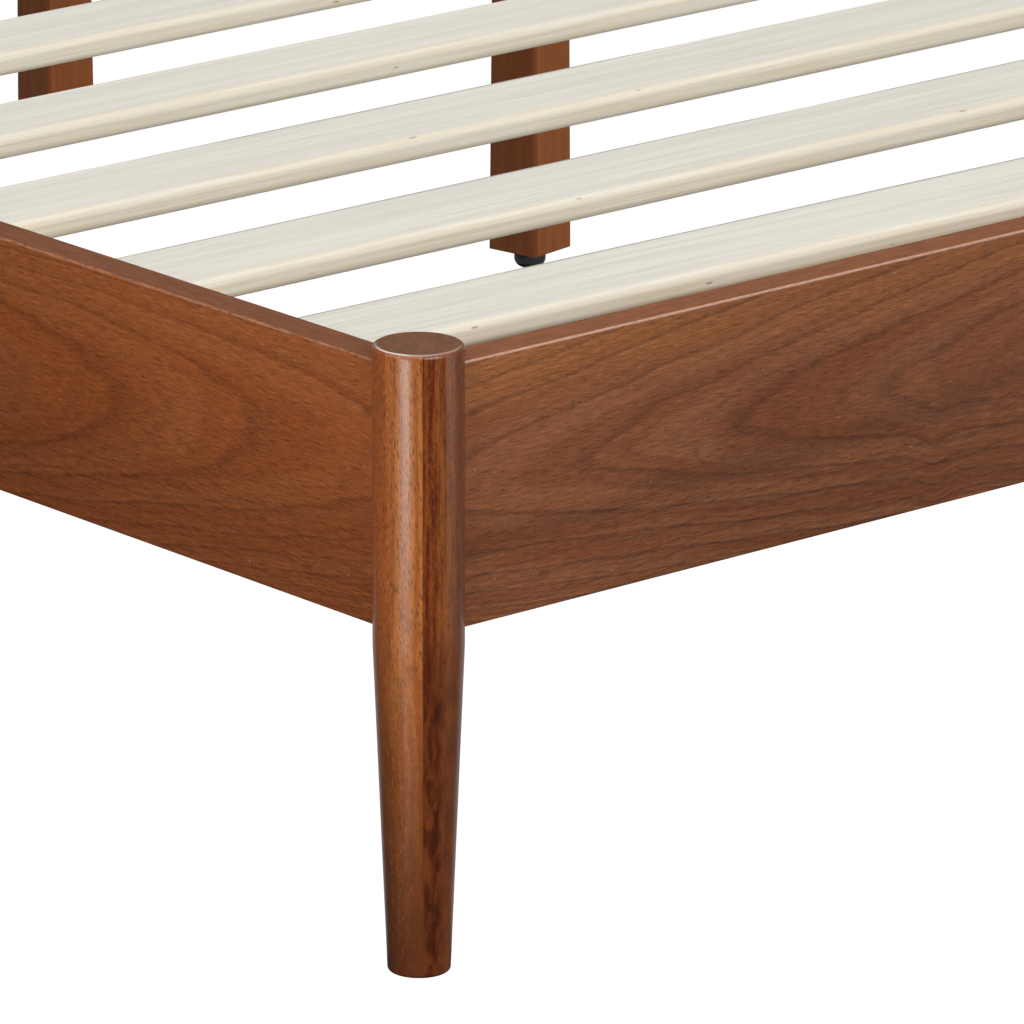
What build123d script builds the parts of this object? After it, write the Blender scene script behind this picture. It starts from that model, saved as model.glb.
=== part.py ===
# A low wooden platform bed frame for a king-size mattress.
# Four turned posts, round above and tapering below, carry two side rails and two end rails.
# Thirteen slats lie across the bed on ledgers and on a centre beam with three adjustable legs.
#
# Millimetres, +Z up. The origin is on the floor under the middle of the bed.
# X runs across the bed, along the slats. The head end is at +Y and the foot end at -Y.
import os
from math import pi

from build123d import *

# ---- Driving dimensions ----
mattress_width = 1930.0
mattress_length = 2032.0
side_play = 15.5  # room between the mattress and each side rail
end_play = 26.5  # room between the mattress and each end rail

post_diameter = 50.0
post_foot_diameter = 34.6
post_height = 355.0
post_top_round = 2.7
post_foot_round = 2.0
taper_blend = 90.0  # radius that eases the straight post into its taper
taper_drop = 9.0  # how far under the rails the taper starts

rail_thickness = 22.8
rail_height = 149.4
rail_bottom = 195.0
rail_setback = 15.3  # from a post's axis out to the outer face of its rails
rail_housing = 14.0  # from a post's axis to the end of a rail
rail_round = 1.4

slat_count = 13
slat_pitch = 160.2
slat_width = 74.0
slat_thickness = 13.9
slat_round = 4.6
slat_drop = 5.3  # from the rails' top down to the slats' top
slat_end_gap = 3.0
# Each slat is a little out of its even place, as slats screwed down by hand are.
slat_shifts = (-12.8, 1.9, 5.0, 2.5, 4.0, 1.0, -2.0, 1.5, -3.0, 0.5, 3.0, -1.5, 1.0)
slat_turns = (-0.9, 0.0, 0.0, 0.15, 0.3, 0.0, 0.1, -0.1, 0.2, 0.0, -0.15, 0.1, 0.0)
narrow_slat = 3  # this one was ripped narrower than the others
narrow_slat_width = 68.0

ledger_thickness = 20.0
ledger_height = 30.0
ledger_start = 76.0  # from a post's axis to the end of a ledger

beam_width = 45.0
beam_height = 50.0
beam_play = 1.0

bracket_sheet = 2.5
bracket_width = 100.0
bracket_height = 54.0
bracket_reach = 40.0
bracket_cheek = 40.0

leg_spacing = 534.0
leg_foot_width = 42.0
leg_top_width = 39.2
leg_corner_round = 3.5
# The legs are screwed up into the beam, and each one stops at its own angle.
leg_turns = {"foot": 2.0, "middle": 10.5, "head": -4.0}

glide_diameter = 22.0
glide_height = 10.3
glide_dome = 6.8
glide_flat = 8.0  # diameter of the flat that stands on the floor
glide_gap = 3.6  # left above a glide to screw it further in
glide_stem_length = 36.0

# ---- Fasteners ----
stud_radius = 4.0  # M8
stud_bore_radius = 4.5
insert_radius = 6.0
insert_length = 14.0
pocket_radius = 19.0
pocket_depth = 18.0
pocket_from_end = 38.0
washer_flat = 9.0  # from the pocket's middle to the flat of the crescent washer
washer_width = 13.0
nut_across_flats = 13.0
nut_thickness = 6.5
dowel_radius = 4.0
dowel_in_post = 12.0
dowel_in_rail = 18.0
# Heights above the rails' lower edge. Each one is at its own height, so none meet inside a post.
side_stud_heights = (30.0, 116.0)
side_dowel_heights = (58.0, 88.0)
end_stud_heights = (44.0, 102.0)
end_dowel_heights = (15.0, 131.0)

screw_radius = 2.0
screw_head_radius = 4.0
screw_length = 34.0
screw_head_depth = 2.4
recess_width = 0.9
recess_span = 4.0
recess_depth = 1.4
bracket_screw_length = 18.0
slat_screw_length = 40.0
slat_screw_inset = 7.0
ledger_end_margin = 10.0  # least distance from a ledger's end to a slat screw

running_clearance = 0.08
hanger_length = 60.0
hanger_in_beam = 24.0
tee_flange_radius = 10.0
tee_flange_thickness = 1.4
tee_barrel_radius = 5.2
tee_barrel_length = 13.0

# ---- Derived places ----
post_radius = post_diameter / 2
rail_inner = rail_thickness - rail_setback  # from a post's axis in to the inner face of its rails
inner_x = mattress_width / 2 + side_play
inner_y = mattress_length / 2 + end_play
post_x = inner_x + rail_inner
post_y = inner_y + rail_inner
rail_top = rail_bottom + rail_height
slat_top = rail_top - slat_drop
slat_bottom = slat_top - slat_thickness
slat_length = 2 * (inner_x - slat_end_gap)
slat_ys = [(i - (slat_count - 1) / 2) * slat_pitch + slat_shifts[i] for i in range(slat_count)]
beam_bottom = slat_bottom - beam_height
beam_end = inner_y - bracket_sheet - beam_play
leg_bottom = glide_height + glide_gap
leg_ys = {"foot": -leg_spacing, "middle": 0.0, "head": leg_spacing}
stud_offset = rail_thickness / 2 - rail_setback  # a rail's mid-plane, in from the post's axis
corners = {"foot_left": (-1, -1), "foot_right": (1, -1), "head_left": (-1, 1), "head_right": (1, 1)}


def block(x0, x1, y0, y1, z0, z1):
    """A box between two corners."""
    return Pos((x0 + x1) / 2, (y0 + y1) / 2, (z0 + z1) / 2) * Box(abs(x1 - x0), abs(y1 - y0), abs(z1 - z0))


def rod(radius, start, direction, length):
    """A cylinder that starts at a point and runs along a direction."""
    plane = Plane(origin=start, z_dir=direction)
    return plane * (Pos(0, 0, length / 2) * Cylinder(radius, length))


def wood_screw(point, direction, length):
    """A countersunk screw: its head's face is at the point, and its tip lies along the direction."""
    cone = Pos(0, 0, screw_head_depth / 2) * Cone(screw_head_radius, screw_radius, screw_head_depth)
    shank_length = length - screw_head_depth - 2 * screw_radius
    shank = Pos(0, 0, screw_head_depth + shank_length / 2) * Cylinder(screw_radius, shank_length)
    tip = Pos(0, 0, length - screw_radius) * Cone(screw_radius, 0.3, 2 * screw_radius)
    return Plane(origin=point, z_dir=direction) * (cone + shank + tip)


def cross_recess(point, direction):
    """The cross-shaped socket in the face of a screw's head."""
    bar = Pos(0, 0, recess_depth / 2) * Box(recess_span, recess_width, recess_depth)
    return Plane(origin=point, z_dir=direction) * (bar + Rot(0, 0, 90) * bar)


def screw_set(places, length):
    """Finished screws, and the plain bodies that are cut out of the wood around them."""
    bodies = [wood_screw(point, direction, length) for point, direction in places]
    finished = [body - cross_recess(*place) for body, place in zip(bodies, places)]
    return finished, bodies


def cut(shape, tools):
    """The shape less each tool that comes near it."""
    box = shape.bounding_box()
    near = [t for t in tools if box.overlaps(t.bounding_box())]
    return shape - near if near else shape


# ---- Corner joints ----
def joint_axes(sx, sy):
    """The two rails that meet at a post: where the joint starts, its direction, and its heights."""
    along_x = ((sx * post_x, sy * (post_y - stud_offset)), (-sx, 0), end_stud_heights, end_dowel_heights)
    along_y = ((sx * (post_x - stud_offset), sy * post_y), (0, -sy), side_stud_heights, side_dowel_heights)
    return along_x, along_y


def along(origin, way, distance, height):
    """A point that lies a distance from the post's axis along a rail, at a height above its lower edge."""
    return (origin[0] + way[0] * distance, origin[1] + way[1] * distance, rail_bottom + height)


def inward(origin, way):
    """The direction from a rail's outer face to its inner face."""
    return (0, -1 if origin[1] > 0 else 1, 0) if way[0] else (-1 if origin[0] > 0 else 1, 0, 0)


def hexagon_nut(point, direction):
    """A nut whose flats face the two sides of the rail."""
    plane = Plane(origin=point, x_dir=(0, 0, 1), z_dir=direction)
    prism = extrude(RegularPolygon(nut_across_flats / 2, 6, major_radius=False), nut_thickness)
    return plane * (prism - Pos(0, 0, nut_thickness / 2) * Cylinder(stud_radius, nut_thickness))


def crescent_washer(centre, way, inner_way):
    """The half-moon that spreads a nut's pull over the curved wall of its pocket."""
    round_block = rod(pocket_radius, centre, inner_way, washer_width)
    edge = tuple(c - d * 2 * pocket_radius for c, d in zip(centre, way))
    reach = 2 * pocket_radius - washer_flat
    keep = Plane(origin=edge, z_dir=way) * (Pos(0, 0, reach / 2) * Box(90, 90, reach))
    return round_block & keep


def joint_hardware():
    """Studs, threaded inserts, crescent washers, nuts and dowels of the eight corner joints."""
    made = {"studs": [], "inserts": [], "washers": [], "nuts": [], "dowels": []}
    bores = {"rail": [], "post": []}
    nut_face = rail_housing + pocket_from_end - washer_flat
    for sx, sy in corners.values():
        for origin, way, stud_heights, dowel_heights in joint_axes(sx, sy):
            direction = (way[0], way[1], 0)
            inner_way = inward(origin, way)
            for height in stud_heights:
                insert_start = along(origin, way, rail_housing - insert_length, height)
                hole = rod(stud_radius, insert_start, direction, insert_length)
                sleeve = rod(insert_radius, insert_start, direction, insert_length)
                made["inserts"].append(sleeve - hole)
                bores["post"].append(sleeve)
                stud_start = along(origin, way, 1.0, height)
                made["studs"].append(rod(stud_radius, stud_start, direction, nut_face + nut_thickness + 3.0))
                rail_end = along(origin, way, rail_housing, height)
                bores["rail"].append(rod(stud_bore_radius, rail_end, direction, pocket_from_end))
                middle = along(origin, way, rail_housing + pocket_from_end, height)
                to_floor = pocket_depth - rail_thickness / 2
                floor = tuple(m - d * to_floor for m, d in zip(middle, inner_way))
                bores["rail"].append(rod(pocket_radius, floor, inner_way, pocket_depth + 1.0))
                washer_floor = tuple(m - d * washer_width / 2 for m, d in zip(middle, inner_way))
                washer = crescent_washer(washer_floor, direction, inner_way)
                made["washers"].append(washer - rod(stud_bore_radius, rail_end, direction, pocket_from_end))
                made["nuts"].append(hexagon_nut(along(origin, way, nut_face, height), direction))
            for height in dowel_heights:
                start = along(origin, way, rail_housing - dowel_in_post, height)
                dowel = rod(dowel_radius, start, direction, dowel_in_post + dowel_in_rail)
                made["dowels"].append(dowel)
                bores["rail"].append(dowel)
                bores["post"].append(dowel)
    return made, bores


# ---- Posts and rails ----
def post(sx, sy, bores):
    """A turned post with a housing for each of its two rails."""
    outline = FilletPolyline(
        (0, 0),
        (post_foot_diameter / 2, 0),
        (post_radius, rail_bottom - taper_drop),
        (post_radius, post_height),
        (0, post_height),
        radius=[post_foot_round, taper_blend, post_top_round],
    )
    half = make_face([*outline.edges(), Line((0, post_height), (0, 0))])
    shape = revolve(Plane.XZ * half, Axis.Z)
    reach = 2 * post_radius
    end_housing = block(-sx * rail_housing, -sx * reach, sy * rail_setback, -sy * rail_inner, rail_bottom, rail_top)
    side_housing = block(sx * rail_setback, -sx * rail_inner, -sy * rail_housing, -sy * reach, rail_bottom, rail_top)
    shape = shape - end_housing - side_housing
    return cut(Pos(sx * post_x, sy * post_y, 0) * shape, bores)


def rail(x0, x1, y0, y1, axis, bores):
    """A board on edge, its long edges rounded, with the bores of its corner joints."""
    board = block(x0, x1, y0, y1, rail_bottom, rail_top)
    board = fillet(board.edges().filter_by(axis), rail_round)
    return cut(board, bores)


# ---- Slats ----
def slat(index, screws):
    """A slat with well-rounded long edges."""
    width = narrow_slat_width if index == narrow_slat else slat_width
    board = fillet(Box(slat_length, width, slat_thickness).edges().filter_by(Axis.X), slat_round)
    board = fillet(board.edges().filter_by(Axis.Y), 0.6)
    place = Pos(0, slat_ys[index], slat_top - slat_thickness / 2) * Rot(0, 0, slat_turns[index])
    return cut(place * board, screws)


def slat_screw_places():
    """One screw at each end of each slat, up through the middle of a ledger."""
    reach = inner_x - slat_end_gap - slat_screw_inset
    limit = post_y - ledger_start - ledger_end_margin
    places = []
    for index in range(slat_count):
        for side in (-1, 1):
            y = slat_ys[index] + side * reach * slat_turns[index] * pi / 180
            y = max(-limit, min(limit, y))
            places.append(((side * reach, y, slat_bottom - ledger_height), (0, 0, 1)))
    return places


# ---- Ledgers ----
def ledger(side, screws):
    """The strip on a side rail that the slats' ends lie on."""
    end = post_y - ledger_start
    z0 = slat_bottom - ledger_height
    board = block(side * inner_x, side * (inner_x - ledger_thickness), -end, end, z0, slat_bottom)
    return cut(chamfer(board.edges().filter_by(Axis.Y), 1.0), screws)


def ledger_screw_places():
    """Screws through the ledgers into the side rails, one between each two slats."""
    places = []
    for index in range(slat_count - 1):
        y = (slat_ys[index] + slat_ys[index + 1]) / 2
        z = slat_bottom - ledger_height / 2
        for side in (-1, 1):
            places.append(((side * (inner_x - ledger_thickness), y, z), (side, 0, 0)))
    return places


# ---- Centre beam, brackets and legs ----
def beam(bores):
    """The long beam under the middle of the slats."""
    half = beam_width / 2
    board = block(-half, half, -beam_end, beam_end, beam_bottom, slat_bottom)
    return cut(fillet(board.edges().filter_by(Axis.Y), 2.0), bores)


def beam_bracket(end, screws):
    """A steel cradle on an end rail that holds one end of the beam."""
    face = end * inner_y
    back = face - end * bracket_sheet
    tip = back - end * bracket_reach
    half = beam_width / 2
    outer = half + bracket_sheet
    low = beam_bottom - bracket_sheet
    half_plate = bracket_width / 2
    plate = block(-half_plate, half_plate, back, face, low, low + bracket_height)
    plate = fillet(plate.edges().filter_by(Axis.Y), 4.0)
    floor = block(-outer, outer, back, tip, low, beam_bottom)
    cheeks = [block(s * half, s * outer, back, tip, low, low + bracket_cheek) for s in (-1, 1)]
    return cut(plate + floor + cheeks, screws)


def bracket_screw_places(end):
    """Two screws in each wing of a bracket."""
    low = beam_bottom - bracket_sheet
    wing = (beam_width / 2 + bracket_sheet + bracket_width / 2) / 2
    heights = (low + bracket_height * 0.25, low + bracket_height * 0.75)
    y = end * (inner_y - bracket_sheet)
    return [((s * wing, y, z), (0, end, 0)) for s in (-1, 1) for z in heights]


def support_leg(name, bores):
    """A square leg, slightly wider at its foot, turned to the angle where its thread tightened."""
    bottom = Pos(0, 0, leg_bottom) * RectangleRounded(leg_foot_width, leg_foot_width, leg_corner_round)
    top = Pos(0, 0, beam_bottom) * RectangleRounded(leg_top_width, leg_top_width, leg_corner_round)
    shape = Pos(0, leg_ys[name], 0) * Rot(0, 0, leg_turns[name]) * loft([bottom, top])
    return cut(shape, bores)


def leg_fixings():
    """Hanger bolts between the legs and the beam, their inserts in the beam, and their bores."""
    bolts, inserts, leg_bores, beam_bores = [], [], [], []
    for y in leg_ys.values():
        foot = (0, y, beam_bottom + hanger_in_beam - hanger_length)
        bolt = rod(stud_radius, foot, (0, 0, 1), hanger_length)
        sleeve = rod(insert_radius, (0, y, beam_bottom), (0, 0, 1), hanger_in_beam)
        bolts.append(bolt)
        leg_bores.append(bolt)
        beam_bores.append(sleeve)
        inserts.append(sleeve - bolt)
    return bolts, inserts, leg_bores, beam_bores


# ---- Adjustable glides ----
def tee_nut(y):
    """The threaded barrel and flange let into a leg's foot, and the recess that it fills."""
    flange = rod(tee_flange_radius, (0, y, leg_bottom), (0, 0, 1), tee_flange_thickness)
    barrel = rod(tee_barrel_radius, (0, y, leg_bottom), (0, 0, 1), tee_barrel_length)
    solid = flange + barrel
    thread = rod(stud_radius + running_clearance, (0, y, leg_bottom), (0, 0, 1), tee_barrel_length)
    well = rod(stud_radius + 0.8, (0, y, leg_bottom), (0, 0, 1), glide_stem_length)
    return solid - thread, solid + well


def glide_pad(y):
    """A round pad with a domed underside, moulded onto its stem."""
    radius = glide_diameter / 2
    flat = glide_flat / 2
    dome = EllipticalCenterArc((flat, glide_dome), radius - flat, glide_dome, start_angle=270, arc_size=90)
    top_edge = glide_height - 0.8
    sides = Polyline((radius, glide_dome), (radius, top_edge), (radius - 0.8, glide_height), (0, glide_height))
    profile = make_face([*Polyline((0, glide_height), (0, 0), (flat, 0)).edges(), dome, *sides.edges()])
    shape = Pos(0, y, 0) * revolve(Plane.XZ * profile, Axis.Z)
    return shape - glide_stem(y)


def glide_stem(y):
    """The threaded stem that screws up into a tee nut."""
    stem = rod(stud_radius, (0, y, 3.0), (0, 0, 1), glide_stem_length)
    return chamfer(stem.edges().group_by(Axis.Z)[-1], 0.8)


# ---- The assembly ----
def build():
    """Every node of the bed, by name."""
    nodes = {}
    hardware, bores = joint_hardware()
    for name, (sx, sy) in corners.items():
        nodes["post_" + name] = [post(sx, sy, bores["post"])]

    ledger_screws, ledger_cuts = screw_set(ledger_screw_places(), screw_length)
    slat_screws, slat_cuts = screw_set(slat_screw_places(), slat_screw_length)
    outer_x, outer_y = post_x + rail_setback, post_y + rail_setback
    half_x, half_y = post_x - rail_housing, post_y - rail_housing
    for name, side in (("left", -1), ("right", 1)):
        faces = sorted((side * inner_x, side * outer_x))
        nodes["side_rail_" + name] = [rail(*faces, -half_y, half_y, Axis.Y, bores["rail"] + ledger_cuts)]
        nodes["ledger_" + name] = [ledger(side, ledger_cuts + slat_cuts)]

    bracket_screws = []
    for name, end in (("foot", -1), ("head", 1)):
        screws, cuts = screw_set(bracket_screw_places(end), bracket_screw_length)
        faces = sorted((end * inner_y, end * outer_y))
        nodes[name + "_rail"] = [rail(-half_x, half_x, *faces, Axis.X, bores["rail"] + cuts)]
        nodes["beam_bracket_" + name] = [beam_bracket(end, cuts)]
        bracket_screws += screws

    for index in range(slat_count):
        nodes[f"slat_{index + 1:02d}"] = [slat(index, slat_cuts)]

    bolts, inserts, leg_bores, beam_bores = leg_fixings()
    nodes["centre_beam"] = [beam(beam_bores)]
    tee_nuts = []
    for name, y in leg_ys.items():
        nut, recess = tee_nut(y)
        tee_nuts.append(nut)
        nodes["support_leg_" + name] = [support_leg(name, leg_bores + [recess])]
        nodes["glide_pad_" + name] = [glide_pad(y)]
        nodes["glide_stem_" + name] = [glide_stem(y)]

    nodes["joint_studs"] = hardware["studs"]
    nodes["joint_inserts"] = hardware["inserts"]
    nodes["crescent_washers"] = hardware["washers"]
    nodes["joint_nuts"] = hardware["nuts"]
    nodes["rail_dowels"] = hardware["dowels"]
    nodes["ledger_screws"] = ledger_screws
    nodes["slat_screws"] = slat_screws
    nodes["bracket_screws"] = bracket_screws
    nodes["leg_hanger_bolts"] = bolts
    nodes["leg_inserts"] = inserts
    nodes["glide_tee_nuts"] = tee_nuts
    return nodes


os.makedirs("parts", exist_ok=True)
for node, shapes in build().items():
    solids = [solid for shape in shapes for solid in shape.solids()]
    export_step(Compound(children=solids), f"parts/{node}.step")
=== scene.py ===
"""A low wooden bed frame, seen close up at one corner: looks, light and camera for the CAD frame.

The CAD nodes carry all the shapes. Every material is a formula over the frame's own millimetres,
built from math and noise nodes. Lights, floor and camera are in metres.
"""
import math

import bpy
from mathutils import Matrix, Vector


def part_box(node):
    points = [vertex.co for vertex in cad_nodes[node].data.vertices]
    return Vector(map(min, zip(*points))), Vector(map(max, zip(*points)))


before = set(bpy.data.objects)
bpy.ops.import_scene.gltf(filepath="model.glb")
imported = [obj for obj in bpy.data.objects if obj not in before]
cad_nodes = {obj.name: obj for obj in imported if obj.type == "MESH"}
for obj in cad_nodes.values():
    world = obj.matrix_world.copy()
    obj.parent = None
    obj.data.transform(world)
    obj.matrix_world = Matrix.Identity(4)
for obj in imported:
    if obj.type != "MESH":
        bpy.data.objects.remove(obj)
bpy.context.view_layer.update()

MM = 0.001  # metres in a millimetre
SLAT_COUNT = 13


# ---- Places, worked out from the frame ----
def corner_post(name):
    """The axis of a corner post, its radius and its height, in millimetres."""
    low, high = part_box("post_" + name)
    centre = (low + high) / 2 / MM
    return centre.x, centre.y, (high.x - low.x) / 2 / MM, high.z / MM


def leg_middle(name):
    """How far along the bed a support leg stands, in millimetres."""
    low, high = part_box("support_leg_" + name)
    return (low.y + high.y) / 2 / MM


NEAR_X, NEAR_Y, POST_RADIUS, POST_HEIGHT = corner_post("foot_left")
FAR_X, FAR_Y, _, _ = corner_post("head_right")
RAIL_LOW, RAIL_HIGH = (corner.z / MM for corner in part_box("side_rail_left"))
RAIL_MIDDLE = (RAIL_LOW + RAIL_HIGH) / 2
SIDE_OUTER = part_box("side_rail_left")[0].x / MM
FOOT_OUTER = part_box("foot_rail")[0].y / MM
SLAT_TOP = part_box("slat_01")[1].z / MM


# ---- Formulas for node materials ----
class Term:
    """A number that varies over a surface. Sums and products of terms become math nodes."""

    def __init__(self, paint, socket):
        self.paint, self.socket = paint, socket

    def _with(self, operation, *others, flip=False):
        values = [*others, self] if flip else [self, *others]
        return self.paint.math(operation, *values)

    def __add__(self, other):
        return self._with("ADD", other)

    def __radd__(self, other):
        return self._with("ADD", other)

    def __sub__(self, other):
        return self._with("SUBTRACT", other)

    def __rsub__(self, other):
        return self._with("SUBTRACT", other, flip=True)

    def __mul__(self, other):
        return self._with("MULTIPLY", other)

    def __rmul__(self, other):
        return self._with("MULTIPLY", other)

    def __truediv__(self, other):
        return self._with("DIVIDE", other)

    def __pow__(self, other):
        return self._with("POWER", other)

    def __abs__(self):
        return self._with("ABSOLUTE")

    def __neg__(self):
        return self * -1.0


class Paint:
    """One procedural material, written as formulas over row-frame millimetres."""

    def __init__(self, name):
        self.material = bpy.data.materials.new(name)
        self.material.use_nodes = True
        self.nodes = self.material.node_tree.nodes
        self.links = self.material.node_tree.links
        self.shader = self.nodes["Principled BSDF"]
        place = self.node("ShaderNodeTexCoord").outputs["Object"]
        split = self.node("ShaderNodeSeparateXYZ", {0: place})
        self.x, self.y, self.z = (Term(self, socket) / MM for socket in split.outputs)

    def node(self, kind, inputs=None, **settings):
        """A new node with its settings, and with values or links on its inputs."""
        made = self.nodes.new(kind)
        for key, value in settings.items():
            setattr(made, key, value)
        for key, value in (inputs or {}).items():
            self.put(made.inputs[key], value)
        return made

    def put(self, socket, value):
        """Links a term or a socket to a socket, or sets a number or a colour on it."""
        if isinstance(value, Term):
            value = value.socket
        if isinstance(value, bpy.types.NodeSocket):
            self.links.new(value, socket)
        elif socket.type == "RGBA":
            socket.default_value = (*value, 1.0)
        else:
            socket.default_value = value

    def math(self, operation, *values):
        made = self.node("ShaderNodeMath", dict(enumerate(values)), operation=operation)
        return Term(self, made.outputs[0])

    def vector(self, x, y, z):
        return self.node("ShaderNodeCombineXYZ", {0: x, 1: y, 2: z}).outputs[0]

    def step(self, value, low, high):
        """0 below low, 1 above high, and a smooth rise between them. It falls if low is above high."""
        made = self.node(
            "ShaderNodeMapRange",
            {"Value": value, "From Min": low, "From Max": high},
            interpolation_type="SMOOTHSTEP",
        )
        return Term(self, made.outputs["Result"])

    def noise(self, x, y, z, detail=2.0, rough=0.5, warp=0.0):
        """Soft noise from 0 to 1 around 0.5, about one blotch for each unit of x, y and z."""
        made = self.node(
            "ShaderNodeTexNoise",
            {
                "Vector": self.vector(x, y, z),
                "Scale": 1.0,
                "Detail": detail,
                "Roughness": rough,
                "Distortion": warp,
            },
        )
        return Term(self, made.outputs[0])

    def cells(self, x, y, z):
        """The distance to the nearest of scattered points, and a random number for each point."""
        made = self.node("ShaderNodeTexVoronoi", {"Vector": self.vector(x, y, z), "Scale": 1.0})
        pick = self.node("ShaderNodeSeparateColor", {0: made.outputs["Color"]})
        return Term(self, made.outputs["Distance"]), Term(self, pick.outputs[0])

    def mix(self, amount, base, other):
        """The base colour where the amount is 0, the other one where it is 1."""
        inputs = {0: amount, 6: base, 7: other}
        return self.node("ShaderNodeMix", inputs, data_type="RGBA").outputs[2]

    def scale_color(self, color, factor):
        """The colour made lighter or darker by a varying factor."""
        made = self.node("ShaderNodeVectorMath", operation="SCALE")
        self.put(made.inputs[0], color)
        self.put(made.inputs["Scale"], factor)
        return made.outputs[0]

    def bump(self, height, distance, strength):
        """Relief whose height is given in millimetres times distance."""
        made = self.node("ShaderNodeBump", {"Height": height})
        made.inputs["Distance"].default_value = distance * MM
        made.inputs["Strength"].default_value = strength
        self.links.new(made.outputs[0], self.shader.inputs["Normal"])

    def finish(self, color, rough, **constants):
        """Connects colour and roughness. The rest are plain values on the shader's own sockets."""
        self.put(self.shader.inputs["Base Color"], color)
        self.put(self.shader.inputs["Roughness"], rough)
        for key, value in constants.items():
            self.shader.inputs[key.replace("_", " ")].default_value = value
        return self.material


# ---- Stained boards: the rails ----
def figure_side(paint, u, v):
    """Growth rings of the side rails: a wide arch whose tip points to the foot end.

    Each whole number that the formula passes is one ring. The arch's middle line sinks a little
    along the board.
    """
    middle = 25.27 - 0.095 * u
    sway = (paint.noise(u / 230.0, v / 60.0, 3.7, 2.0) - 0.5) * 16.0
    off = abs(v - middle + sway)
    arch = off ** 2.45 * 0.0115
    ripple = (paint.noise(u / 90.0, v / 12.0, 9.1, 3.0, 0.6) - 0.5) * 62.0
    return (u - arch + ripple) / 128.0


def figure_end(paint, u, v):
    """Growth rings of the end rails: narrow nested arches, flatter and closer below than above.

    One dip in the lower rings lies dip_place along the board.
    """
    dip_place, dip_depth, dip_length = 367.0, 6.0, 14.0
    sink = dip_depth * paint.math("EXPONENT", -1.0 * ((u - dip_place) / dip_length) ** 2.0)
    below = paint.step(v, 8.0, -8.0)
    sway = (paint.noise(u / 240.0, v / 60.0, 5.2, 2.0) - 0.5) * 16.0
    level = v - 2.0 + sink * below + sway
    off = abs(level) * (1.0 + 0.25 * below)
    arch = off ** 1.6 * 0.4
    ripple = (paint.noise(u / 80.0, v / 11.0, 2.4, 3.0, 0.6) - 0.5) * 50.0
    return (u - arch + ripple) / 115.0


def late_wood(paint, rings):
    """The dark line that ends each ring, and finer lines between."""
    phase = paint.math("FRACT", rings)
    fine_phase = paint.math("FRACT", rings * 3.0 + 0.2)
    fall = paint.step(phase, 1.0, 0.95)
    rise = paint.step(phase, 0.35, 0.95) * 0.5 + paint.step(phase, 0.78, 0.96) * 0.5
    fine = paint.step(fine_phase, 0.50, 0.92) * paint.step(fine_phase, 1.0, 0.93)
    return rise * fall, fine


def thin_lines(paint, u, v, seed):
    """Thin wavy lines, one above another, in a board's lower half."""
    wobble = (paint.noise(u / 110.0, v / 40.0, seed + 8.0, 2.0) - 0.5) * 24.0
    quiver = (paint.noise(u / 26.0, v / 20.0, seed + 9.0, 2.0) - 0.5) * 6.0
    strata = paint.math("FRACT", (v + wobble + quiver) / 9.0 + 20.0)
    low_down = paint.step(v, -10.0, -34.0)
    return paint.step(strata, 0.66, 0.96) * paint.step(strata, 1.0, 0.96) * low_down


def board_face(paint, look, u, v, w, seed):
    """The colour of a board's face, with its fibres and its open vessels."""
    cut_u, cut_v = u + seed * 37.0, v + w * 0.6
    rings = look["figure"](paint, u, cut_v) + seed * 0.37
    late, fine_late = late_wood(paint, rings)
    ring_tone = paint.noise(rings * 0.9, u / 400.0, seed + 2.0, 3.0, 0.6)
    fibres = paint.noise(cut_u / 10.0, cut_v / 0.7, w / 0.75 + seed, 3.0, 0.65)
    strands = paint.noise(cut_u / 55.0, cut_v / 2.2, w / 2.6 + seed, 3.0, 0.55)
    dashes = paint.noise(cut_u / 4.5, cut_v / 0.55, w / 0.8 + seed, 1.0, 0.4)
    vessels = paint.step(dashes - late * 0.06, 0.42, 0.30)
    clouds = paint.noise(u / 90.0, v / 42.0, seed, 2.0) - 0.5

    color = paint.mix(paint.step(ring_tone, 0.38, 0.60), look["light"], look["red"])
    high_up = paint.step(v + clouds * 40.0, 30.0, 62.0)
    color = paint.mix(high_up * 0.6, color, look["orange"])
    low_band = paint.step(abs(v + 30.0 - u * 0.04 + clouds * 30.0), 13.0, 3.0)
    color = paint.mix(low_band * look["low_band"], color, look["dark"])
    lines = late * 0.85 + fine_late * 0.40 + thin_lines(paint, u, v, seed) * 0.8
    broken = paint.step(strands, 0.30, 0.62) * 0.6 + 0.4
    color = paint.mix(lines * broken * look["lines"], color, look["dark"])

    shade = 1.0 + (fibres - 0.5) * 2.1 + (strands - 0.5) * 0.60 - vessels * 0.25
    # Painted shade: the face darker towards its bottom.
    low_shade = 1.07 - paint.step(v, 60.0, -74.0) * look["painted_shade_below"]
    # Painted light near the post on the end rails, and painted shade there on the side rails.
    post_light_and_shade = 1.0 + paint.step(u, 260.0, 0.0) * look["painted_light_at_post"]
    return paint.scale_color(color, shade * low_shade * post_light_and_shade), fibres, vessels


def board_nicks(paint, color, u, v, seed):
    """Tiny pale nicks, more of them near the post."""
    distance, pick = paint.cells(u / 14.0, v / 11.0, seed)
    often_at_post = pick + paint.step(u, 110.0, 20.0) * 0.3
    nicks = paint.step(distance, 0.075, 0.035) * paint.step(often_at_post, 0.80, 0.85)
    return paint.mix(nicks * 0.45, color, (0.52, 0.33, 0.24))


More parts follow.
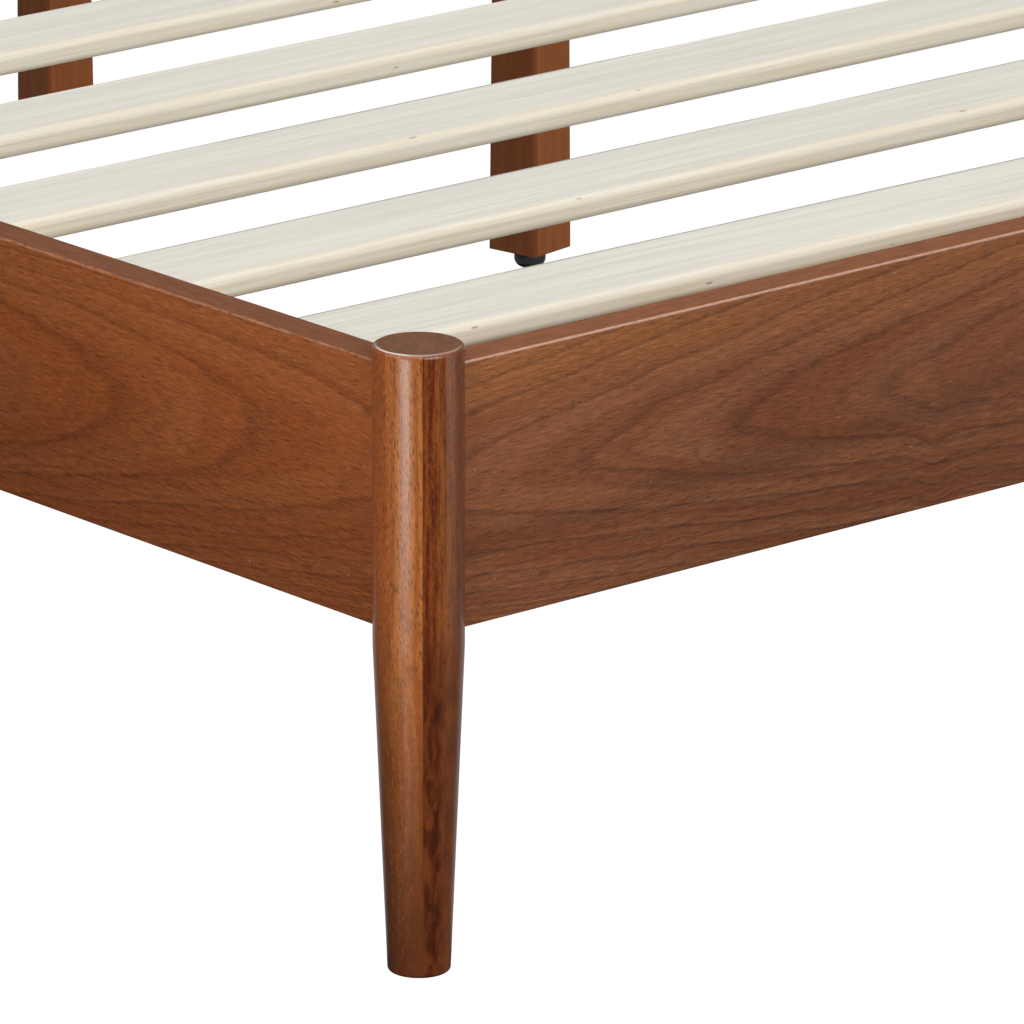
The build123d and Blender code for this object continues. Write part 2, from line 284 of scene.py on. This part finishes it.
def board_edge(paint, color, look, u, v, w, seed):
    """The narrow top face, in a tone of its own that on the side rails is painted shade, and the outer
    edge below it: worn pale in places, chipped dark in others, and on the end rails with a painted
    highlight.

    The second value that it gives back is the edge's relief.
    """
    top_gap = RAIL_HIGH - paint.z
    on_top = paint.step(top_gap, 0.5, 0.1)
    top_grain = paint.noise(u / 22.0, w / 2.4, seed + 6.0, 4.0, 0.65)
    # The top face's own tone is painted shade: on the side rails it is darker than the face, against
    # the strong light from above.
    top = paint.scale_color(look["top"], 0.1 + top_grain * 1.8)
    color = paint.mix(on_top * 0.95, color, top)

    from_arris = paint.math("MAXIMUM", top_gap, w)
    arris = paint.step(from_arris, 2.0, 0.9)
    chips = paint.noise(u / 3.5, v / 0.9, w / 0.9 + seed, 3.0, 0.7)
    wear_length = paint.noise(u / 45.0, seed, 3.0, 2.0)
    worn = arris * paint.step(chips + (wear_length - 0.5) * 0.5, 0.42, 0.62)
    color = paint.mix(worn * 0.6, color, (0.48, 0.235, 0.135))
    # Painted highlight: a thin pale line along the outer edge, on the end rails.
    painted_edge_highlight = paint.step(from_arris, 1.5, 0.6) * (0.4 + chips * 1.2)
    color = paint.mix(painted_edge_highlight * look["painted_edge_highlight"], color, (0.62, 0.42, 0.33))
    color = paint.mix(arris * paint.step(chips, 0.34, 0.28) * 0.8, color, (0.06, 0.02, 0.01))
    return color, arris * chips


def stained_board(name, along, near_end, outer, look, seed):
    """A walnut-stained board on edge.

    u runs along it from its near end, v up from its middle and w in from its outer face. The look
    holds the rings' figure, the tones, and how strong the lines, the painted edge highlight and the
    painted shading are.
    """
    paint = Paint(name)
    length, depth = (paint.y, paint.x) if along == "y" else (paint.x, paint.y)
    u, w = abs(length - near_end), abs(depth - outer)
    v = paint.z - RAIL_MIDDLE
    color, fibres, vessels = board_face(paint, look, u, v, w, seed)
    color = board_nicks(paint, color, u, v, seed)
    color, edge_relief = board_edge(paint, color, look, u, v, w, seed)
    paint.bump(fibres * 0.6 - vessels * 0.5 + edge_relief * 0.8, 0.12, 0.5)
    rough = 0.45 + (fibres - 0.5) * 0.12 + vessels * 0.12
    return paint.finish(color, rough, Specular_IOR_Level=0.3)


# ---- Stained posts: two lengths of wood glued side by side and turned ----
SEAM_SQUARE = math.radians(319.2)  # the direction square to the seam, from +X
SEAM_PLACE = 2.5  # from the post's axis, towards the brown half
FIGURE_TOP = RAIL_LOW + 20.0  # below this, brown wood swirls and golden wood darkens
LEAN = 0.13  # how far pores and specks lean for each millimetre up


def golden_half(paint, across, through, z, dashes, seed):
    """Golden wood with fine specks and open pores, darker towards its edge and its foot."""
    bands = paint.noise(across / 3.6 + seed, through / 3.6, z / 160.0, 2.0)
    color = paint.mix(paint.step(bands, 0.38, 0.64), (0.47, 0.160, 0.033), (0.37, 0.096, 0.017))
    color = paint.mix(paint.step(across, -13.0, -20.0) * 0.7, color, (0.36, 0.078, 0.015))
    specks = paint.noise((across + z * LEAN) / 0.55, through / 0.55, z / 2.8, 1.0, 0.4)
    color = paint.mix(paint.step(specks, 0.42, 0.30) * 0.6, color, (0.15, 0.040, 0.011))
    color = paint.mix(paint.step(z, FIGURE_TOP, 10.0) * 0.75, color, (0.205, 0.043, 0.006))
    dash_strength = 0.3 + paint.step(z, 120.0, 230.0) * 0.4
    color = paint.mix(dashes * dash_strength, color, (0.12, 0.034, 0.012))
    pale_specks = paint.step(specks, 0.63, 0.70) * paint.step(across, 0.0, -10.0)
    return paint.mix(pale_specks * 0.65, color, (0.50, 0.24, 0.10))


def brown_half(paint, across, through, z, seed):
    """Dark brown wood with a paler band, a painted sheen band and painted shade towards its edge, and a
    swirling figure low down.
    """
    grain = paint.noise(across / 2.0, through / 2.0, z / 40.0 + 4.0, 3.0, 0.6)
    color = paint.mix(paint.step(grain, 0.40, 0.70), (0.105, 0.013, 0.0), (0.26, 0.060, 0.006))
    pale_band = paint.step(across, 7.5, 12.0) * (1.0 - paint.step(across, 17.0, 19.5) * 0.45)
    color = paint.mix(pale_band * paint.step(grain, 0.25, 0.6) * 0.75, color, (0.31, 0.092, 0.020))
    # Painted sheen: a lighter, greyer band.
    color = paint.mix(paint.step(across, 13.5, 16.0) * 0.5, color, (0.30, 0.118, 0.050))
    # Painted shade towards the edge.
    color = paint.mix(paint.step(across, 18.5, 21.5) * 0.6, color, (0.16, 0.055, 0.026))
    spots = paint.noise(across / 1.3, through / 1.3, z / 4.0 + seed, 3.0, 0.6)
    color = paint.mix(paint.step(spots, 0.52, 0.64) * 0.4, color, (0.34, 0.092, 0.014))
    color = paint.mix(paint.step(spots, 0.46, 0.36) * 0.4, color, (0.055, 0.008, 0.0))

    swirl = paint.noise(across / 5.5, through / 5.5, z / 20.0 + seed, 5.0, 0.68, 0.5)
    figure = paint.mix(paint.step(swirl, 0.36, 0.64), (0.055, 0.008, 0.0), (0.165, 0.037, 0.005))
    figure = paint.mix(paint.step(across, 9.0, 17.0) * 0.45, figure, (0.27, 0.086, 0.028))
    return paint.mix(paint.step(z, FIGURE_TOP, FIGURE_TOP - 55.0), color, figure)


def post_top(paint, color, across, through, fine, seed):
    """End grain on the top, and a painted highlight along the rounded rim, strongest on its lit front.
    Also gives where the top is.
    """
    on_top = paint.step(paint.z, POST_HEIGHT - 1.2, POST_HEIGHT - 0.3)
    end_grain = paint.noise(across / 2.4, through / 4.5, seed + 0.4, 3.0, 0.6)
    top = paint.scale_color((0.195, 0.076, 0.030), end_grain * 1.5 + 0.28 + (fine - 0.5) * 0.5)
    color = paint.mix(on_top, color, top)
    radius = paint.math("SQRT", across ** 2.0 + through ** 2.0)
    near_top = paint.step(paint.z, POST_HEIGHT - 3.0, POST_HEIGHT - 1.5)
    # Painted highlight: a pale line along the rounded rim, towards the light and the front.
    rim = paint.step(abs(radius - POST_RADIUS + 1.7), 0.8, 0.2) * near_top
    lit_part = paint.step(through, 6.0, -14.0) * (1.0 - paint.step(across, -8.0, -1.0) * 0.7)
    return paint.mix(rim * lit_part * 0.85, color, (0.78, 0.68, 0.60)), on_top


def stained_post(name, centre_x, centre_y, seed):
    """A post of a golden and a brown half under a polished coat.

    across runs square to the seam, from the golden half to the brown one, and through runs along it.
    """
    paint = Paint(name)
    x, y, z = paint.x - centre_x, paint.y - centre_y, paint.z
    square_x, square_y = math.cos(SEAM_SQUARE), math.sin(SEAM_SQUARE)
    across = x * square_x + y * square_y
    through = x * -square_y + y * square_x
    seam = across - SEAM_PLACE + (paint.noise(z / 60.0, seed, 0.0) - 0.5) * 0.5
    in_brown = paint.step(seam, -0.25, 0.25)

    fibres = paint.noise(across / 0.8, through / 0.8, z / 22.0 + seed, 3.0, 0.6)
    fine = paint.noise(across / 0.6, through / 0.6, z / 2.6, 2.0, 0.6)
    mottle = paint.noise(across / 5.0, through / 5.0, z / 14.0 + seed, 3.0, 0.6)
    distance, pick = paint.cells((across + z * LEAN) / 1.5, through / 1.5, z / 6.0)
    dashes = paint.step(distance, 0.42, 0.18) * paint.step(pick, 0.12, 0.22)

    golden = golden_half(paint, across, through, z, dashes, seed)
    brown = brown_half(paint, across, through, z, seed)
    color = paint.mix(in_brown, golden, brown)
    glue_line = paint.step(abs(seam), 0.8, 0.1)
    color = paint.mix(glue_line * 0.25, color, (0.10, 0.026, 0.008))
    # Painted shade: the golden half darker towards the foot, the brown half a little lighter there, and
    # the golden half's lower part darker still away from the seam.
    foot_shade = 1.0 - paint.step(z, 190.0, -10.0) * (0.50 - in_brown * 0.60)
    edge_shade = 1.0 - paint.step(across, -7.0, -19.0) * paint.step(z, 260.0, 130.0) * 0.35
    texture = 1.0 + (fibres - 0.5) * 0.35 + (fine - 0.5) * 0.6 + (mottle - 0.5) * 0.6
    color = paint.scale_color(color, texture * foot_shade * edge_shade)

    color, on_top = post_top(paint, color, across, through, fine, seed)
    paint.bump(fibres * 0.3 - dashes * 0.9 + fine * 0.2, 0.10, 0.4)
    rough = 0.42 + (fine - 0.5) * 0.1 + dashes * 0.10 + on_top * 0.15
    coat = {"Coat_Weight": 1.0, "Coat_Roughness": 0.30, "Coat_IOR": 1.6}
    return paint.finish(color, rough, Specular_IOR_Level=0.05, **coat)


# ---- Pale slats ----
def slat_line(name):
    """Where a slat's centre line crosses the bed's middle, its slope, and half the slat's width."""
    corners = [vertex.co / MM for vertex in cad_nodes[name].data.vertices]
    ends = []
    for sign in (-1, 1):
        reach = max(corner.x * sign for corner in corners) - 5.0
        ys = [corner.y for corner in corners if corner.x * sign > reach]
        ends.append((min(ys), max(ys)))
    (left_low, left_high), (right_low, right_high) = ends
    left, right = (left_low + left_high) / 2, (right_low + right_high) / 2
    length = max(corner.x for corner in corners) - min(corner.x for corner in corners)
    return (left + right) / 2, (right - left) / length, (left_high - left_low) / 2


def slat_front(paint, color, x, y, z, half_width, broad, seed):
    """The rounded front edge, yellower than the top and painted brighter than it as painted light, with
    painted shade low on the front, and small knots.
    """
    depth = SLAT_TOP - z
    streaks = paint.noise(x / 120.0 + seed, z / 1.6, y / 4.0, 3.0, 0.6)
    front = paint.step(-y + (streaks - 0.5) * 7.0, half_width - 10.0, half_width - 4.5)
    dark_part = paint.step(streaks, 0.42, 0.62)
    mild = paint.mix(dark_part, (0.81, 0.76, 0.64), (0.77, 0.69, 0.54))
    # Painted light: the strong front colours are brighter than the top's own.
    strong = paint.mix(dark_part, (0.93, 0.87, 0.73), (0.87, 0.77, 0.57))
    yellow = paint.mix(paint.step(depth, 0.6, 4.5), mild, strong)
    covered = paint.step(streaks + broad * 0.6 + depth * 0.05, 0.5, 0.9)
    color = paint.mix(front * covered, color, yellow)
    # Painted shade low on the front, where it rounds under.
    color = paint.mix(front * paint.step(depth, 9.5, 14.0) * 0.3, color, (0.60, 0.50, 0.36))
    distance, pick = paint.cells(x / 34.0 + seed * 5.0, y / 11.0, z / 8.0)
    knot = paint.step(distance, 0.115, 0.05) * paint.step(pick, 0.62, 0.66) * front
    return paint.mix(knot * 0.7, color, (0.36, 0.20, 0.10))


def pale_slat(name, centre_y, slope, half_width, seed):
    """Pale planed wood. x runs along the slat, and y across it from its centre line."""
    paint = Paint(name)
    x, y, z = paint.x, paint.y - centre_y - paint.x * slope, paint.z
    ring = y + z * 0.7 + (paint.noise(x / 500.0 + seed, y / 30.0, z / 30.0, 2.0) - 0.5) * 30.0
    fibres = paint.noise(x / 45.0 + seed, ring / 0.8, z / 0.8, 3.0, 0.65)
    streaks = paint.noise(x / 260.0 + seed * 3.0, ring / 1.7, z / 2.2, 3.0, 0.6)
    broad = paint.noise(x / 420.0 + seed, ring / 9.0, z / 12.0, 2.0)
    line = paint.noise(x / 170.0 + seed * 7.0, ring / 1.1, z / 1.6, 1.0, 0.4)
    color = paint.mix(paint.step(broad, 0.35, 0.65), (0.79, 0.755, 0.672), (0.73, 0.705, 0.635))
    color = paint.mix(paint.step(streaks, 0.48, 0.70) * 0.55, color, (0.60, 0.54, 0.455))
    color = paint.mix(paint.step(line, 0.69, 0.76) * 0.45, color, (0.45, 0.33, 0.26))
    color = slat_front(paint, color, x, y, z, half_width, broad, seed)
    # Painted shade: a thin grey line along the back rounding.
    painted_back_edge_shade = paint.step(y, half_width - 6.2, half_width - 4.8) * paint.step(broad, 0.42, 0.55)
    color = paint.mix(painted_back_edge_shade * 0.7, color, (0.27, 0.24, 0.21))
    color = paint.scale_color(color, 1.0 + (fibres - 0.5) * 0.16)
    paint.bump(fibres, 0.10, 0.35)
    return paint.finish(color, 0.65 + (fibres - 0.5) * 0.15, Specular_IOR_Level=0.18)


# ---- Support legs, ledgers and beam ----
def dark_leg(name, centre_y, turn, seed):
    """A square leg, turned by some degrees. One side face is painted darker than the others, as painted
    shade.
    """
    paint = Paint(name)
    x, y, z = paint.x, paint.y - centre_y, paint.z
    angle = math.radians(turn)
    across = x * math.cos(angle) + y * math.sin(angle)
    fibres = paint.noise(x / 0.9, y / 0.9, z / 40.0 + seed, 3.0, 0.6)
    bands = paint.noise(x / 6.0 + seed, y / 6.0, z / 220.0, 2.0)
    color = paint.mix(paint.step(bands, 0.3, 0.7), (0.32, 0.100, 0.028), (0.27, 0.080, 0.022))
    # Painted shade on one side face.
    painted_shade_face = paint.step(across, -17.0, -18.5)
    color = paint.scale_color(color, (1.0 + (fibres - 0.5) * 0.4) * (1.0 - painted_shade_face * 0.36))
    paint.bump(fibres, 0.1, 0.4)
    return paint.finish(color, 0.5 + (fibres - 0.5) * 0.1, Specular_IOR_Level=0.15)


def plain_pine():
    """Planed, unfinished softwood with rings and fine fibres along the bed."""
    paint = Paint("pine_lengthwise")
    rings = paint.noise(paint.y / 400.0, paint.x / 9.0, paint.z / 9.0, 3.0, 0.5)
    band = paint.math("PINGPONG", rings * 9.0, 1.0)
    fibres = paint.noise(paint.y / 40.0, paint.x / 0.9, paint.z / 0.9, 3.0, 0.6)
    color = paint.mix(band * 0.5, (0.70, 0.53, 0.33), (0.58, 0.38, 0.20))
    color = paint.scale_color(color, 1.0 + (fibres - 0.5) * 0.25)
    paint.bump(fibres, 0.12, 0.4)
    return paint.finish(color, 0.6 + (fibres - 0.5) * 0.15, Specular_IOR_Level=0.3)


def zinc_steel():
    """Zinc-plated steel for fasteners, brackets and glide stems."""
    paint = Paint("zinc_plated_steel")
    grain = paint.noise(paint.x / 1.5, paint.y / 1.5, paint.z / 1.5, 3.0, 0.6)
    clouds = paint.noise(paint.x / 20.0, paint.y / 20.0, paint.z / 20.0, 2.0)
    color = paint.mix(paint.step(clouds, 0.3, 0.7), (0.66, 0.66, 0.65), (0.56, 0.58, 0.60))
    paint.bump(grain, 0.03, 0.3)
    return paint.finish(color, 0.30 + (grain - 0.5) * 0.2, Metallic=1.0)


def black_plastic():
    """Black moulded plastic for the glides' pads, slightly scuffed."""
    paint = Paint("black_moulded_plastic")
    grain = paint.noise(paint.x / 0.5, paint.y / 0.5, paint.z / 0.5, 3.0, 0.6)
    scuffs = paint.noise(paint.x / 4.0, paint.y / 4.0, paint.z / 4.0, 3.0, 0.7)
    color = paint.mix(paint.step(scuffs, 0.55, 0.75) * 0.4, (0.012, 0.012, 0.013), (0.045, 0.043, 0.04))
    paint.bump(grain, 0.04, 0.4)
    return paint.finish(color, 0.45 + (scuffs - 0.5) * 0.3, Specular_IOR_Level=0.5)


def wear(node, material):
    """Gives a CAD node its material."""
    mesh = cad_nodes[node].data
    mesh.materials.clear()
    mesh.materials.append(material)


# ---- Materials on the nodes ----
# Each pair of rails has its own tones and its own strengths of lines, low band, painted highlight on
# the top edge, painted shade towards the bottom, and painted light near the post. A negative one
# works the other way, so the side rails get painted shade near the post.
SIDE_LOOK = {
    "figure": figure_side,
    "light": (0.38, 0.110, 0.032),
    "dark": (0.19, 0.048, 0.016),
    "red": (0.355, 0.091, 0.023),
    "orange": (0.41, 0.130, 0.038),
    "top": (0.195, 0.070, 0.029),
    "lines": 0.52,
    "low_band": 0.0,
    "painted_edge_highlight": 0.0,
    "painted_shade_below": 0.34,
    "painted_light_at_post": -0.05,
}
END_LOOK = {
    "figure": figure_end,
    "light": (0.265, 0.095, 0.039),
    "dark": (0.080, 0.028, 0.014),
    "red": (0.22, 0.067, 0.024),
    "orange": (0.345, 0.124, 0.035),
    "top": (0.25, 0.090, 0.036),
    "lines": 0.48,
    "low_band": 0.27,
    "painted_edge_highlight": 0.6,
    "painted_shade_below": 0.16,
    "painted_light_at_post": 0.20,
}

# Steel is for every node that gets nothing else below.
steel = zinc_steel()
for node in cad_nodes:
    wear(node, steel)

for place, end, outer, seed in (("left", NEAR_Y, SIDE_OUTER, 0.0), ("right", FAR_Y, -SIDE_OUTER, 1.0)):
    wear("side_rail_" + place, stained_board("rail_" + place, "y", end, outer, SIDE_LOOK, seed))
for place, end, outer, seed in (("foot", NEAR_X, FOOT_OUTER, 0.0), ("head", FAR_X, -FOOT_OUTER, 1.0)):
    wear(place + "_rail", stained_board("rail_" + place, "x", end, outer, END_LOOK, seed))

for index, corner in enumerate(("foot_left", "foot_right", "head_left", "head_right")):
    post_x, post_y, _, _ = corner_post(corner)
    wear("post_" + corner, stained_post("wood_post_" + corner, post_x, post_y, index * 11.0))

for index in range(1, SLAT_COUNT + 1):
    slat = f"slat_{index:02d}"
    wear(slat, pale_slat("wood_" + slat, *slat_line(slat), index * 1.7))

# Each leg is turned a little about its own axis, by these degrees.
for index, (place, turn) in enumerate((("foot", 2.0), ("middle", 10.5), ("head", -4.0))):
    leg = dark_leg("wood_leg_" + place, leg_middle(place), turn, index * 5.0)
    wear("support_leg_" + place, leg)

pine = plain_pine()
for node in ("ledger_left", "ledger_right", "centre_beam", "rail_dowels"):
    wear(node, pine)

plastic = black_plastic()
for place in ("foot", "middle", "head"):
    wear("glide_pad_" + place, plastic)


# ---- Floor, light and camera ----
FLOOR_LEVEL = -0.0125  # the glides reach 10 mm below the posts' feet
FLOOR_REACH = 60.0
FLOOR_GLOW = 0.97  # nearly enough by itself for a white picture
SKY_DIM, SKY_BRIGHT = 0.06, 0.8
SKY_DIM_BELOW = 0.35  # as the sine of the elevation


def floor():
    """A wide pale floor that only the camera sees, just below the glides at their lowest."""
    mesh = bpy.data.meshes.new("studio_floor")
    signs = ((-1, -1), (1, -1), (1, 1), (-1, 1))
    corners = [(x * FLOOR_REACH, y * FLOOR_REACH, FLOOR_LEVEL) for x, y in signs]
    mesh.from_pydata(corners, [], [(0, 1, 2, 3)])
    made = bpy.data.objects.new("studio_floor", mesh)
    bpy.context.scene.collection.objects.link(made)
    paint = Paint("pale_floor")
    speckle = paint.noise(paint.x / 300.0, paint.y / 300.0, 0.0, 3.0, 0.5)
    color = paint.scale_color((0.12, 0.12, 0.12), 0.97 + speckle * 0.06)
    paint.finish(color, 0.9, Specular_IOR_Level=0.1)
    paint.put(paint.shader.inputs["Emission Color"], (1.0, 1.0, 1.0))
    paint.shader.inputs["Emission Strength"].default_value = FLOOR_GLOW
    mesh.materials.append(paint.material)
    made.visible_diffuse = made.visible_glossy = made.visible_transmission = False


def sky():
    """White surroundings, dim up to some way above the horizon and brightest straight overhead."""
    world = bpy.data.worlds.new("studio")
    bpy.context.scene.world = world
    world.use_nodes = True
    tree = world.node_tree
    coords = tree.nodes.new("ShaderNodeTexCoord")
    split = tree.nodes.new("ShaderNodeSeparateXYZ")
    ramp = tree.nodes.new("ShaderNodeMapRange")
    ramp.inputs["From Min"].default_value = SKY_DIM_BELOW
    ramp.inputs["From Max"].default_value = 1.0
    ramp.inputs["To Min"].default_value = SKY_DIM
    ramp.inputs["To Max"].default_value = SKY_BRIGHT
    background = tree.nodes["Background"]
    tree.links.new(coords.outputs["Generated"], split.inputs[0])
    tree.links.new(split.outputs["Z"], ramp.inputs["Value"])
    tree.links.new(ramp.outputs["Result"], background.inputs["Strength"])
    background.inputs["Color"].default_value = (1.0, 1.0, 1.0, 1.0)


def soft_box(name, target, azimuth, elevation, distance, size, power):
    """A soft light that stands off a target in a direction and faces it.

    The direction is an azimuth from +X and an elevation, in degrees. The distance and the size are in
    metres, and the power is in watts.
    """
    light = bpy.data.lights.new(name, "AREA")
    light.shape = "RECTANGLE"
    light.size, light.size_y = size
    light.energy = power
    made = bpy.data.objects.new(name, light)
    bpy.context.scene.collection.objects.link(made)
    turn, lift = math.radians(azimuth), math.radians(elevation)
    away = Vector((math.cos(turn) * math.cos(lift), math.sin(turn) * math.cos(lift), math.sin(lift)))
    made.location = target + away * distance
    made.rotation_euler = away.to_track_quat("Z", "Y").to_euler()
    made.visible_camera = False


def lights():
    """Big soft boxes for the whole bed, and small ones for the near post and what lies in shade."""
    near_post = Vector((NEAR_X, NEAR_Y, POST_HEIGHT * 0.75)) * MM

    # name, target, azimuth, elevation, distance, size, power
    soft_box("overhead", Vector((0.0, 0.0, 0.3)), 200.0, 78.0, 4.0, (3.0, 3.0), 55.0)
    soft_box("key", near_post, 197.0, -4.0, 0.8, (0.24, 0.40), 2.35)
    soft_box("side", Vector((-0.9, -0.9, 0.3)), 180.0, 27.0, 7.0, (4.5, 3.5), 95.0)
    soft_box("sheen", near_post, 319.0, 0.0, 1.2, (0.6, 0.6), 0.9)
    soft_box("front", Vector((-0.6, -1.0, 0.3)), 265.0, 27.0, 7.0, (4.5, 3.5), 275.0)

    # These two lie just above the feet's level and shine straight up: under the slats, and at the post.
    up = {"azimuth": 0.0, "elevation": -90.0, "distance": -0.004}
    beside_post = Vector((NEAR_X * MM - 0.42, NEAR_Y * MM - 0.13, 0.0))
    soft_box("bounce", Vector((0.0, 0.0, 0.0)), **up, size=(2.0, 2.1), power=4.5)
    soft_box("strip", beside_post, **up, size=(0.5, 0.16), power=0.11)

    # The support legs stand in the rails' shade.
    for place, power in (("middle", 0.38), ("head", 0.14)):
        leg = Vector((0.0, leg_middle(place) * MM, 0.09))
        soft_box("leg_fill_" + place, leg, 275.0, 0.0, 0.38, (0.4, 0.12), power)


CAMERA_OFFSET = Vector((-3.06386, -3.62898, 1.70963))  # from the foot of the near post
CAMERA_HEADING = 49.2205  # degrees from +X
CAMERA_TILT = -16.9666  # degrees above level
CAMERA_ROLL = 0.1126  # degrees
CAMERA_LENS = 324.59  # millimetres, on a sensor 36 mm wide


def camera():
    """Stands well back from the near corner post and sees it through a long lens."""
    data = bpy.data.cameras.new("camera")
    data.lens = CAMERA_LENS
    data.sensor_width = 36.0
    data.clip_start, data.clip_end = 0.1, 200.0
    made = bpy.data.objects.new("camera", data)
    bpy.context.scene.collection.objects.link(made)
    made.location = Vector((NEAR_X * MM, NEAR_Y * MM, 0.0)) + CAMERA_OFFSET
    heading = Matrix.Rotation(math.radians(CAMERA_HEADING - 90.0), 4, "Z")
    tilt = Matrix.Rotation(math.radians(90.0 + CAMERA_TILT), 4, "X")
    roll = Matrix.Rotation(math.radians(CAMERA_ROLL), 4, "Z")
    made.rotation_euler = (heading @ tilt @ roll).to_euler()
    bpy.context.scene.camera = made


floor()
sky()
lights()
camera()
bpy.context.scene.view_settings.view_transform = "Standard"
